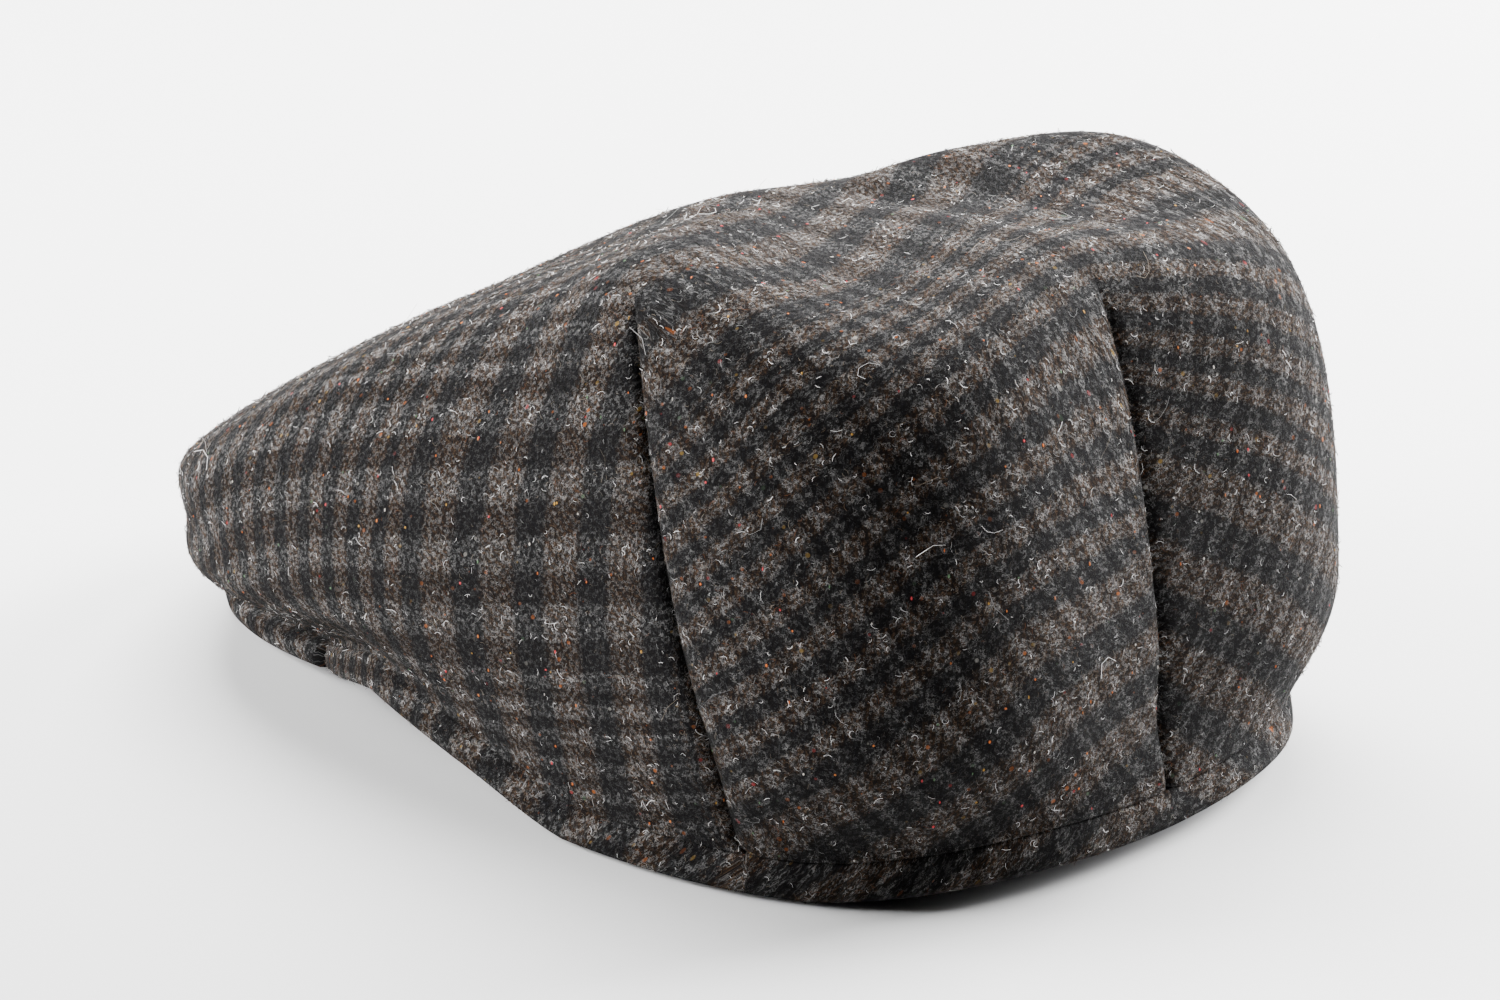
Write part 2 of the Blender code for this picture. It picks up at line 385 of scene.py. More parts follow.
def crown_point(signed_column, along):
    """The cloth's outer face in one column, from the lower edge (0) to the top's centre (1)."""
    column = abs(signed_column)
    direction = column + dart_slant(column) * min(1.0, along / SHOULDER_AT)

    def reach(name):
        return opening_radius(direction) + FRONT_OVERHANG * round_head(SECTIONS, name, direction)

    def height(name):
        return CROWN_HEIGHT * round_head(SECTIONS, name, direction)

    edge, edge_height = crown_edge(direction)
    belly, belly_height = reach("belly"), height("belly_height")
    shoulder, shoulder_height = reach("shoulder"), height("shoulder_height")
    fill = TOP_FILL * math.exp(-(((direction - TOP_FILL_AT) / TOP_FILL_SPREAD) ** 2))
    top_height = (shoulder_height + CROWN_HEIGHT) / 2 + TOP_DOME + fill
    under = (1 - UNDER_REACH) * edge + UNDER_REACH * belly
    inner_top = TOP_SHARE * shoulder
    knots = (0.0, SEAM_AT, UNDER_AT, BELLY_AT, SHOULDER_AT, TOP_AT, 1.0, 2.0 - TOP_AT)
    radii = (edge, edge, under, belly, shoulder, inner_top, 0.0, -inner_top)
    heights = (
        edge_height,
        edge_height + SEAM_HEIGHT,
        edge_height + UNDER_RISE * (belly_height - edge_height),
        belly_height,
        shoulder_height,
        top_height,
        CROWN_HEIGHT,
        top_height,
    )
    radius = smooth_curve(knots, radii, along)
    radius -= dart_valley(column, along, radius)
    point = place(direction, radius, smooth_curve(knots, heights, along))
    if signed_column < 0:
        point.x = -point.x
    return point


print("darts at 0 and", SIDE_DART, "degrees on each side")

# %% [markdown]
# ## One cloth, flattened
# The check has to run across the cap as it does on the real cloth: straight over the top, down the sides,
# and askew where a dart has closed. So the crown is unwrapped the way a pattern cutter would lay it flat,
# cut open only along its darts, and its UV map then holds plain distances on the cloth, in units of half a
# metre, with the first axis across the cap and the second along it.

# %% Crown surface
COLUMN_STEP = 2.0
ROWS = 84
ROW_CROWDING = 1.05
NEAR_DART = (0.0, 0.25, 0.5, 0.85, 1.3, 2.0, 3.0)
CLOTH_UNIT = 0.5


def crown_columns():
    """Column directions right round the head, close together at the darts."""
    darts = (-SIDE_DART, 0.0, SIDE_DART)
    columns = {dart + side * near for dart in darts for near in NEAR_DART for side in (-1, 1)}
    steps = round(360 / COLUMN_STEP)
    for i in range(steps):
        column = -180 + 360 * i / steps
        if min(abs(column - dart) for dart in darts) > NEAR_DART[-1] + COLUMN_STEP / 2:
            columns.add(column)
    return sorted(columns)


def crown_rows():
    return [(i / ROWS) ** ROW_CROWDING for i in range(ROWS)]


def make_object(name, mesh):
    piece = bpy.data.objects.new(name, mesh)
    bpy.context.scene.collection.objects.link(piece)
    return piece


def finish_piece(body, name):
    mesh = bpy.data.meshes.new(name)
    body.to_mesh(mesh)
    body.free()
    mesh.shade_smooth()
    return make_object(name, mesh)


def build_crown_surface():
    body = bmesh.new()
    columns = crown_columns()
    grid = [[body.verts.new(crown_point(column, along)) for column in columns] for along in crown_rows()]
    count = len(columns)
    for lower, upper in zip(grid, grid[1:]):
        for i in range(count):
            j = (i + 1) % count
            body.faces.new((lower[i], upper[i], upper[j], lower[j]))
    tip = body.verts.new(crown_point(0, 1.0))
    for i in range(count):
        body.faces.new((grid[-1][i], tip, grid[-1][(i + 1) % count]))
    seam_rows = sum(along < SHOULDER_AT for along in crown_rows())
    body.edges.ensure_lookup_table()
    for dart in (-SIDE_DART, 0.0, SIDE_DART):
        i = columns.index(dart)
        for lower, upper in zip(grid[:seam_rows], grid[1:seam_rows + 1]):
            body.edges.get((lower[i], upper[i])).seam = True
    return finish_piece(body, "crown_cloth")


crown = build_crown_surface()
print("crown surface", len(crown.data.polygons), "faces")

# %% Lay the crown flat
TOP_PATCH = 0.05
TOP_PATCH_HEIGHT = 0.8
UNWRAP_ROUNDS = 30


def unwrap_crown(piece):
    """Blender's unwrap with least stretch, cut along the darts."""
    bpy.ops.object.select_all(action="DESELECT")
    piece.select_set(True)
    bpy.context.view_layer.objects.active = piece
    piece.data.uv_layers.new(name="cloth")
    bpy.ops.object.mode_set(mode="EDIT")
    bpy.ops.mesh.select_all(action="SELECT")
    bpy.ops.uv.unwrap(method="ANGLE_BASED", margin=0.0)
    bpy.ops.uv.unwrap(method="MINIMUM_STRETCH", margin=0.0, iterations=UNWRAP_ROUNDS)
    bpy.ops.object.mode_set(mode="OBJECT")


def lie_grain_along_the_cap(piece):
    """Turn and size the flat cloth so that its grain runs along the cap's length over the top."""
    mesh = piece.data
    flat = np.empty(len(mesh.loops) * 2)
    mesh.uv_layers["cloth"].data.foreach_get("uv", flat)
    flat = flat[0::2] + 1j * flat[1::2]
    corner = np.empty(len(mesh.loops), dtype=int)
    mesh.loops.foreach_get("vertex_index", corner)
    places = np.empty(len(mesh.vertices) * 3)
    mesh.vertices.foreach_get("co", places)
    places = places.reshape(-1, 3)[corner]
    plan = places[:, 0] + 1j * (places[:, 1] - ORIGIN.y)
    on_top = (np.abs(plan) < TOP_PATCH) & (places[:, 2] > CROWN_HEIGHT * TOP_PATCH_HEIGHT)
    z, w = flat[on_top], plan[on_top]
    turn = np.vdot(z - z.mean(), w - w.mean())
    mirrored = np.vdot((z - z.mean()).conj(), w - w.mean())
    if abs(mirrored) > abs(turn):
        flat, z, turn = flat.conj(), z.conj(), mirrored
    flat = (flat - z.mean()) * turn / abs(turn)
    starts = [polygon.loop_start for polygon in mesh.polygons]
    totals = [polygon.loop_total for polygon in mesh.polygons]
    area = 0.0
    for start, total in zip(starts, totals):
        ring = flat[start:start + total]
        area += abs((ring.conj() * np.roll(ring, -1)).imag.sum()) / 2
    real_area = sum(polygon.area for polygon in mesh.polygons)
    flat = flat * math.sqrt(real_area / area) + w.mean()
    out = np.empty(len(flat) * 2)
    out[0::2] = flat.real / CLOTH_UNIT + 0.5
    out[1::2] = flat.imag / CLOTH_UNIT + 0.5
    mesh.uv_layers["cloth"].data.foreach_set("uv", out)
    return real_area


unwrap_crown(crown)
cloth_area = lie_grain_along_the_cap(crown)
print("crown cloth", round(cloth_area * 1e4), "square centimetres")

# %% [markdown]
# ## Easing the cloth
# A presser shrinks and stretches wool to make it lie, and no cap's stripes run as the flat pattern says.
# On this one the side panels were eased most, the top lies a little askew, and the left back panel dips to
# the centre dart.

# %% Ease the cloth
EASE_FROM = 0.028
EASE_RATE = 2.1
SIDE_FROM = 0.075
SIDE_SOFTNESS = 0.020
SIDE_RATE = 0.48
ASKEW_AT = (-0.03, 0.0, 0.022, 0.045, 0.06, 0.077, 0.095, 0.110, 0.125, 0.20, 0.23)
ASKEW_BY = (0.018, 0.004, -0.006, -0.014, -0.013, -0.010, -0.0065, -0.002, 0.0, 0.0, 0.0)
TOP_ENDS = (0.047, 0.082)
DIP_RATE = 0.46
DIP_TO = 0.068
DIP_STARTS = (0.090, 0.135)
BLEND_FROM = 30.0
BLEND_ABOVE = 0.01
ASKEW_REACH = 0.22


def column_numbers():
    """For each corner of the crown's mesh: its own column direction and its panel's, with their signs."""
    mesh = crown.data
    columns = crown_columns()
    numbers = np.array(columns + [0.0])
    corner = np.empty(len(mesh.loops), dtype=int)
    mesh.loops.foreach_get("vertex_index", corner)
    owner = np.repeat(np.arange(len(mesh.polygons)), [p.loop_total for p in mesh.polygons])
    last = len(mesh.vertices) - 1
    at = np.where(corner == last, len(columns), corner % len(columns))
    middle = np.zeros(len(mesh.polygons))
    for i, polygon in enumerate(mesh.polygons):
        values = [numbers[v % len(columns)] for v in polygon.vertices if v != last]
        spread = max(values) - min(values)
        middle[i] = 180.0 if spread > 180 else sum(values) / len(values)
    return np.abs(numbers[at]), middle[owner]


def ramp(values, ends):
    """0 before the first end, 1 after the second."""
    return np.clip((values - ends[0]) / (ends[1] - ends[0]), 0, 1)


def askew(across):
    """How far the stripes across the cap have slipped along it, at a distance from its middle."""
    steps = np.linspace(0, ASKEW_REACH, round(ASKEW_REACH / MM) + 1)
    slip = [smooth_curve(ASKEW_AT[1:], ASKEW_BY[1:], step) for step in steps]
    left = np.interp(np.abs(across), steps, slip)
    return np.where(across >= 0, left, 2 * ASKEW_BY[1] - left)


def ease_cloth():
    mesh = crown.data
    layer = mesh.uv_layers["cloth"].data
    flat = np.empty(len(mesh.loops) * 2)
    layer.foreach_get("uv", flat)
    flat = (flat.reshape(-1, 2) - 0.5) * CLOTH_UNIT
    column, panel = column_numbers()
    in_side = np.abs(panel) > SIDE_DART
    across, along = flat[:, 0], flat[:, 1]
    straight = across * (1 + EASE_RATE * np.maximum(0, EASE_FROM - along))
    beyond = np.abs(across) - SIDE_FROM
    drop = SIDE_RATE * (np.sqrt(beyond**2 + SIDE_SOFTNESS**2) + beyond) / 2
    blend = ramp(column, (BLEND_FROM, SIDE_DART))
    side = np.where(in_side, 1.0, np.where(along > EASE_FROM + BLEND_ABOVE, 0.0, blend))
    eased = along + drop * side
    eased = eased + askew(straight) * np.where(in_side, 1.0, 1 - ramp(along, TOP_ENDS))
    dip = DIP_RATE * np.maximum(0, DIP_TO - across) * ramp(along, DIP_STARTS)
    eased = eased - dip * ((panel > 0) & ~in_side)
    places = np.stack([straight, eased], axis=1) / CLOTH_UNIT + 0.5
    layer.foreach_set("uv", places.ravel())
    back_panel = mesh.attributes.new("back_panel", "FLOAT", "CORNER")
    back_panel.data.foreach_set("value", (~in_side).astype(float))


ease_cloth()
print("eased the cloth over", len(crown.data.polygons), "faces")

# %% [markdown]
# ## Hem and peak
# The hem is the crown's own cloth turned up inside and stitched, so its lower edge is a soft round fold and
# the check runs on over the stitch line. A ring swept along the opening makes it, its cloth coordinates
# carried on from the crown's edge. The peak is a stiff board in a cover, so its edge is round and even, and
# the cover's cloth coordinates go round that edge without stretching.

# %% Hem strip
HEM_BACK = 2.6
HEM_END_ROOM = 0.3
INTO_PANEL = 0.1
HEM_PROFILE = (
    # outward, height share, distance on the cloth as a share of the strip's height
    (-0.00040, 1.00, 0.00),
    (-0.00005, 0.97, 0.04),
    (0.00030, 0.90, 0.11),
    (0.00055, 0.76, 0.25),
    (0.00080, 0.58, 0.43),
    (0.00095, 0.38, 0.63),
    (0.00090, 0.20, 0.82),
    (0.00050, 0.07, 0.96),
    (-0.00060, 0.005, 1.11),
    (-0.00170, 0.0, 1.22),
    (-0.00260, 0.05, 1.36),
    (-0.00310, 0.20, 1.55),
    (-0.00325, 0.50, 1.85),
    (-0.00320, 0.80, 2.15),
    (-0.00300, 1.00, 2.35),
)


def band_end():
    return PEAK_END - math.degrees(GAP / opening_radius(PEAK_END))


def hem_columns():
    end = band_end()
    inner = [column for column in crown_columns() if abs(column) < end - HEM_END_ROOM]
    return [-end] + inner + [end]


def crown_edge_cloth():
    """The flat cloth's place and downward direction on the crown's edge, for each face of its first row."""
    columns = crown_columns()
    mesh = crown.data
    layer = mesh.uv_layers["cloth"].data
    found = {}
    for i in range(len(columns)):
        polygon = mesh.polygons[i]
        corners = {mesh.loops[k].vertex_index: np.array(layer[k].uv) for k in polygon.loop_indices}
        j = (i + 1) % len(columns)
        for side, at in (("left", i), ("right", j)):
            low, high = corners[at], corners[at + len(columns)]
            found[(columns[i], side)] = (low, (low - high) / np.linalg.norm(low - high))
    return found


def close_ends(body, rings):
    for ring in (rings[0], rings[-1]):
        body.faces.new(ring)
    bmesh.ops.recalc_face_normals(body, faces=body.faces)


def build_hem_band():
    columns = hem_columns()
    profile = HEM_PROFILE
    body = bmesh.new()
    rings = []
    for column in columns:
        bottom, top = hem_edges(abs(column))
        ring = []
        for outward, level, _ in profile:
            height = bottom + (top - bottom) * level
            point = place(abs(column), opening_radius(abs(column)) + outward, height)
            if column < 0:
                point.x = -point.x
            ring.append(body.verts.new(point))
        rings.append(ring)
    layer = body.loops.layers.uv.new("cloth")
    in_back = body.loops.layers.float.new("back_panel")
    edge = crown_edge_cloth()
    grid_columns = crown_columns()
    count = len(profile)
    for i in range(len(columns) - 1):
        near = max(c for c in grid_columns if c <= (columns[i] + columns[i + 1]) / 2)
        left, right = edge[(near, "left")], edge[(near, "right")]
        for k in range(count):
            n = (k + 1) % count
            face = body.faces.new((rings[i][k], rings[i + 1][k], rings[i + 1][n], rings[i][n]))
            spans = [(left, i, k), (right, i + 1, k), (right, i + 1, n), (left, i, n)]
            for loop, ((start, down), ring, at) in zip(face.loops, spans):
                distance = HEM_BACK if n == 0 and at == 0 else profile[at][2]
                loop[layer].uv = start + down * distance * HEM_HEIGHT / CLOTH_UNIT
                loop[in_back] = float(abs(near + INTO_PANEL) < SIDE_DART)
    close_ends(body, rings)
    return finish_piece(body, "hem_fold")


hem = build_hem_band()
print("hem", len(hem.data.polygons), "faces")

# %% Peak
PEAK_FINE_COLUMNS = 80
PEAK_FINE_ROWS = 14
PEAK_ROUND = 5
PEAK_GAP = 0.0002


def peak_ring(inner, outer):
    """The cover's section: radius, height over the board's underside, and radius where it lies flat."""
    half = PEAK_THICKNESS / 2
    ring = []
    for j in range(PEAK_FINE_ROWS + 1):
        radius = inner + (outer - inner) * j / PEAK_FINE_ROWS
        ring.append((radius, PEAK_THICKNESS, radius))
    for j in range(1, PEAK_ROUND + 1):
        angle = math.pi * j / (PEAK_ROUND + 1)
        ring.append((outer + half * math.sin(angle), half + half * math.cos(angle), outer + half * angle))
    for j in range(PEAK_FINE_ROWS + 1):
        radius = outer + (inner - outer) * j / PEAK_FINE_ROWS
        ring.append((radius, 0.0, outer + half * math.pi + outer - radius))
    return ring


def build_peak():
    """The peak's board in its cover: one closed skin, rounded along the free edge."""
    body = bmesh.new()
    layer = body.loops.layers.uv.new("cloth")
    rings = []
    cloth_at = {}
    for i in range(-PEAK_FINE_COLUMNS, PEAK_FINE_COLUMNS + 1):
        direction = 180 - (180 - PEAK_END) * (abs(i) / PEAK_FINE_COLUMNS)
        side = -1 if i < 0 else 1
        inner = opening_radius(direction) + PEAK_GAP
        outer = peak_radius(direction) - PEAK_THICKNESS / 2
        points = []
        for radius, up, on_cloth in peak_ring(inner, outer):
            point = place(direction, radius, peak_bottom(direction, radius) + up)
            point.x *= side
            points.append(body.verts.new(point))
            laid = place(direction, on_cloth, 0) - ORIGIN
            cloth_at[points[-1]] = (laid.x * side / CLOTH_UNIT + 0.5, laid.y / CLOTH_UNIT + 0.5)
        rings.append(points)
    for lower, upper in zip(rings, rings[1:]):
        for k in range(len(lower)):
            n = (k + 1) % len(lower)
            body.faces.new((lower[k], upper[k], upper[n], lower[n]))
    close_ends(body, rings)
    for face in body.faces:
        for loop in face.loops:
            loop[layer].uv = cloth_at[loop.vert]
    return finish_piece(body, "peak_cover")


peak = build_peak()
print("peak", len(peak.data.polygons), "faces")

# %% Give the crown its wall
def add_wall(piece, thickness):
    wall = piece.modifiers.new("wall", "SOLIDIFY")
    wall.thickness = thickness
    wall.offset = -1
    wall.use_even_offset = True
    wall.use_quality_normals = True
    apply_modifiers(piece)


def apply_modifiers(piece):
    """Turn the piece's evaluated shape into its plain mesh."""
    depsgraph = bpy.context.evaluated_depsgraph_get()
    mesh = bpy.data.meshes.new_from_object(piece.evaluated_get(depsgraph))
    piece.modifiers.clear()
    piece.data = mesh


crown_face = crown.data.copy()
add_wall(crown, CLOTH)
print("crown wall", len(crown.data.polygons), "faces")

# %% [markdown]
# ## Nodes by the line
# Both kinds of tree share the same Math node, so a few small helpers write the sums for either of them.

# %% Helpers for node trees
def add_node(tree, kind, **settings):
    node = tree.nodes.new(kind)
    for name, value in settings.items():
        setattr(node, name, value)
    return node


def feed(tree, source, socket):
    """Links a socket, or sets a plain value."""
    if isinstance(source, bpy.types.NodeSocket):
        tree.links.new(source, socket)
    else:
        socket.default_value = source


def calc(tree, operation, a, b=0.0, c=0.0):
    node = add_node(tree, "ShaderNodeMath", operation=operation)
    for source, socket in zip((a, b, c), node.inputs):
        feed(tree, source, socket)
    return node.outputs[0]


def move(tree, operation, a, b=(0, 0, 0), c=(0, 0, 0)):
    """The same for vectors."""
    node = add_node(tree, "ShaderNodeVectorMath", operation=operation)
    for source, socket in zip((a, b, c), node.inputs):
        feed(tree, source, socket)
    return node.outputs[0]


def blend_value(tree, share, a, b):
    """a where share is 0 and b where it is 1."""
    return calc(tree, "MULTIPLY_ADD", share, calc(tree, "SUBTRACT", b, a), a)


def noise(tree, vector, scale, detail=2.0, roughness=0.5, distortion=0.0):
    node = add_node(tree, "ShaderNodeTexNoise")
    feed(tree, vector, node.inputs["Vector"])
    values = {"Scale": scale, "Detail": detail, "Roughness": roughness, "Distortion": distortion}
    for name, value in values.items():
        node.inputs[name].default_value = value
    return node


# %% [markdown]
# ## The check's chart
# This is a common estate check of two stripes in 2/2 twill. Lengthwise threads are light grey or nearly
# black, crosswise threads brown or nearly black, in turns. Broad turns of 8 mm change to narrow turns of
# 3 or 4 mm and back. A chart row holds where a section starts, how long one light and one dark stripe are
# together, and where the middle of a light stripe lies, all in millimetres on the flat cloth. Milling has
# softened the stripes, so each fades in and out over a thread or two.

# %% Chart of the check
Stripes = namedtuple("Stripes", "start repeat light_at")
ACROSS_SIDE = (
    Stripes(0, 15.0, 7.5),
    Stripes(34, 6.6, 39.3),
    Stripes(94, 15.0, 102.8),
    Stripes(156, 6.8, 160.7),
)
ACROSS_BACK = (
    Stripes(0, 15.0, 7.5),
    Stripes(34, 6.45, 62.6),
)
ALONG = (
    Stripes(-300, 8.8, -28.0),
    Stripes(-24, 17.2, 2.2),
    Stripes(50, 8.0, 85.6),
    Stripes(120, 16.6, 129.5),
)
LOW_BACK = 92.0
WARP_PITCH = 0.46
WEFT_PITCH = 0.54
TWILL_THREADS = 4
STRIPE_EDGE = 1.5


def limit(tree, value, high=1.0):
    """The value held between 0 and a highest one."""
    return calc(tree, "MINIMUM", calc(tree, "MAXIMUM", value, 0.0), high)


def light_stripe(tree, distance, chart):
    """1 on the chart's light stripes, 0 on its dark ones."""
    light = None
    for row in chart:
        turn = calc(tree, "SUBTRACT", distance, row.light_at)
        wave = calc(tree, "COSINE", calc(tree, "MULTIPLY", turn, math.tau / row.repeat))
        here = limit(tree, calc(tree, "MULTIPLY_ADD", wave, STRIPE_EDGE, 0.5))
        if light is None:
            light = here
        else:
            light = blend_value(tree, calc(tree, "GREATER_THAN", distance, row.start), light, here)
    return light


def lengthwise_light(tree, across, along, back_panel):
    """Light grey stripes of the lengthwise threads; low down, the back is all in the small check."""
    distance = calc(tree, "ABSOLUTE", across)
    side = light_stripe(tree, distance, ACROSS_SIDE)
    back = light_stripe(tree, distance, ACROSS_BACK)
    low_back = light_stripe(tree, distance, ACROSS_BACK[1:])
    back = blend_value(tree, calc(tree, "GREATER_THAN", along, LOW_BACK), back, low_back)
    return blend_value(tree, back_panel, side, back)


def crosswise_light(tree, along):
    return light_stripe(tree, along, ALONG)


def in_millimetres(tree, layer):
    """The flat cloth's coordinates, counted in millimetres from the middle of the cap."""
    centred = move(tree, "SUBTRACT", layer, (0.5, 0.5, 0.0))
    scale = CLOTH_UNIT / MM
    return move(tree, "MULTIPLY", centred, (scale, scale, 0.0))


def ragged(tree, vector, scale, amount):
    """The coordinates pushed about by a noise, for uneven threads and stripe edges."""
    push = noise(tree, vector, scale, detail=3.0).outputs["Color"]
    push = move(tree, "SUBTRACT", push, (0.5, 0.5, 0.5))
    return move(tree, "MULTIPLY_ADD", push, (amount, amount, 0.0), vector)


print("chart rows", len(ACROSS_SIDE) + len(ACROSS_BACK) + len(ALONG))

# %% [markdown]
# ## The tweed
# Each point of the cloth belongs to one lengthwise and one crosswise thread, and the twill says which of
# them is on top: two over, two under, one step on in each row. That choice, with the two stripes, gives
# the squares and the fine diagonals between them. Milling has then felted the surface: edges of the
# stripes are ragged, the threads are half lost in a mottled nap, and pale curled hairs lie over everything.

# %% Tweed material
CHARCOAL = (0.0058, 0.0060, 0.0073)
SOOT = (0.0068, 0.0057, 0.0052)
ASH = (0.025, 0.0255, 0.0265)
FAWN = (0.036, 0.0204, 0.0108)
HAIR = (0.260, 0.254, 0.250)
NAP_SHARE = 0.40
BOTH_LIGHT = 0.5
FLECKS = (
    (0.00, (0.230, 0.065, 0.015)),
    (0.38, (0.160, 0.100, 0.025)),
    (0.60, (0.200, 0.020, 0.022)),
    (0.74, (0.260, 0.250, 0.225)),
    (0.90, (0.050, 0.085, 0.050)),
)
FLECK_SPACING = 3.1
FLECK_RADIUS = 0.17

Wander = namedtuple("Wander", "scale amount")
UNEVEN_PRESSING = Wander(0.16, 3.0)
UNEVEN_YARN = Wander(1.1, 2.4)

Hairs = namedtuple("Hairs", "scale width distortion")
BROAD_HAIRS = Hairs(0.55, 0.030, 2.4)
FINE_HAIRS = Hairs(1.1, 0.045, 1.6)

Tufts = namedtuple("Tufts", "scale gain start most share rest")
TUFTS = Tufts(1.7, 12.0, -5.8, 3.4, 0.85, 0.22)
CLOUD_SCALE, CLOUD_SHARE, CLOUD_REST = 0.16, 0.9, 0.55
VEIL_ON_LIGHT, VEIL_EVERYWHERE, VEIL_ON_BOTH = 0.22, 0.14, 0.16
CLOTH_FINISH = {
    "Roughness": 0.95,
    "Specular IOR Level": 0.02,
    "Sheen Weight": 0.018,
    "Sheen Roughness": 0.35,
}
WOOL_FINISH = {"Roughness": 0.85, "Specular IOR Level": 0.15}


def mix_colour(tree, share, a, b, blend_type="MIX"):
    node = add_node(tree, "ShaderNodeMix", data_type="RGBA", blend_type=blend_type)
    feed(tree, share, node.inputs["Factor"])
    colour_inputs = [socket for socket in node.inputs if socket.type == "RGBA"]
    for source, socket in zip((a, b), colour_inputs):
        feed(tree, (*source, 1.0) if isinstance(source, tuple) else source, socket)
    return next(socket for socket in node.outputs if socket.type == "RGBA")


def grey_colour(tree, value):
    node = add_node(tree, "ShaderNodeCombineXYZ")
    for socket in node.inputs:
        feed(tree, value, socket)
    return node.outputs[0]


def hair_lines(tree, vector, hairs):
    """Thin curly lines where a noise crosses its middle value."""
    field = noise(tree, vector, hairs.scale, detail=1.5, distortion=hairs.distortion).outputs["Fac"]
    away = calc(tree, "ABSOLUTE", calc(tree, "SUBTRACT", field, 0.5))
    inside = calc(tree, "SUBTRACT", 1.0, calc(tree, "DIVIDE", away, hairs.width))
    return calc(tree, "MAXIMUM", inside, 0.0)


def weave(tree, flat):
    """Colours of the 2/2 twill at a place on the flat cloth, with both stripes' lightness."""
    parts = add_node(tree, "ShaderNodeSeparateXYZ")
    feed(tree, flat, parts.inputs[0])
    warp_number = calc(tree, "FLOOR", calc(tree, "DIVIDE", parts.outputs["X"], WARP_PITCH))
    weft_number = calc(tree, "FLOOR", calc(tree, "DIVIDE", parts.outputs["Y"], WEFT_PITCH))
    step = calc(tree, "SUBTRACT", warp_number, weft_number)
    turn = calc(tree, "FLOORED_MODULO", step, TWILL_THREADS)
    warp_on_top = calc(tree, "LESS_THAN", turn, TWILL_THREADS / 2)
    back = add_node(tree, "ShaderNodeAttribute", attribute_name="back_panel")
    warp_at = calc(tree, "MULTIPLY", warp_number, WARP_PITCH)
    grey = lengthwise_light(tree, warp_at, parts.outputs["Y"], back.outputs["Fac"])
    brown = crosswise_light(tree, calc(tree, "MULTIPLY", weft_number, WEFT_PITCH))
    warp_colour = mix_colour(tree, grey, CHARCOAL, ASH)
    weft_colour = mix_colour(tree, brown, SOOT, FAWN)
    twill = mix_colour(tree, warp_on_top, weft_colour, warp_colour)
    felt = mix_colour(tree, 0.5, weft_colour, warp_colour)
    return mix_colour(tree, NAP_SHARE, twill, felt), grey, brown, warp_on_top


def fleck(tree, flat):
    """Small knots of dyed wool carded into the yarn: where they are and their colour."""
    cells = add_node(tree, "ShaderNodeTexVoronoi")
    feed(tree, flat, cells.inputs["Vector"])
    cells.inputs["Scale"].default_value = 1 / FLECK_SPACING
    parts = add_node(tree, "ShaderNodeSeparateXYZ")
    feed(tree, cells.outputs["Color"], parts.inputs[0])
    size = calc(tree, "MULTIPLY", parts.outputs["Y"], FLECK_RADIUS)
    here = calc(tree, "LESS_THAN", cells.outputs["Distance"], size)
    return here, colour_steps(tree, parts.outputs["X"], FLECKS)


def colour_steps(tree, value, steps):
    """One of several plain colours, chosen by a value; each colour starts at its own value."""
    node = add_node(tree, "ShaderNodeValToRGB")
    node.color_ramp.interpolation = "CONSTANT"
    stops = node.color_ramp.elements
    for i, (start, colour) in enumerate(steps):
        stop = stops[i] if i < 2 else stops.new(start)
        stop.position = start
        stop.color = (*colour, 1.0)
    feed(tree, value, node.inputs[0])
    return node.outputs["Color"]


def new_material(name, finish):
    """A material with its finish set on the shader's own sockets."""
    material = bpy.data.materials.new(name)
    material.use_nodes = True
    tree = material.node_tree
    shader = tree.nodes["Principled BSDF"]
    for socket, value in finish.items():
        shader.inputs[socket].default_value = value
    return material, tree, shader


def mottled(tree, flat, mottle, both):
    """How bright the wool is: in tufts, in broad clouds, and more where both stripes are light."""
    tufts = limit(tree, calc(tree, "MULTIPLY_ADD", mottle, TUFTS.gain, TUFTS.start), TUFTS.most)
    uneven = calc(tree, "MULTIPLY_ADD", tufts, TUFTS.share, TUFTS.rest)
    cloud = noise(tree, flat, CLOUD_SCALE, detail=2.0).outputs["Fac"]
    uneven = calc(tree, "MULTIPLY", uneven, calc(tree, "MULTIPLY_ADD", cloud, CLOUD_SHARE, CLOUD_REST))
    return calc(tree, "MULTIPLY", uneven, calc(tree, "MULTIPLY_ADD", both, BOTH_LIGHT, 1.0))


def felted_relief(tree, mottle, warp_on_top, hairs):
    """A bump from the tufts, the twill's diagonals and the hairs."""
    relief = calc(tree, "MULTIPLY_ADD", mottle, 1.6, calc(tree, "MULTIPLY", warp_on_top, 0.2))
    relief = calc(tree, "MULTIPLY_ADD", hairs, 0.35, relief)
    bump = add_node(tree, "ShaderNodeBump")
    bump.inputs["Strength"].default_value = 0.8
    bump.inputs["Distance"].default_value = 0.0006
    feed(tree, relief, bump.inputs["Height"])
    return bump.outputs[0]


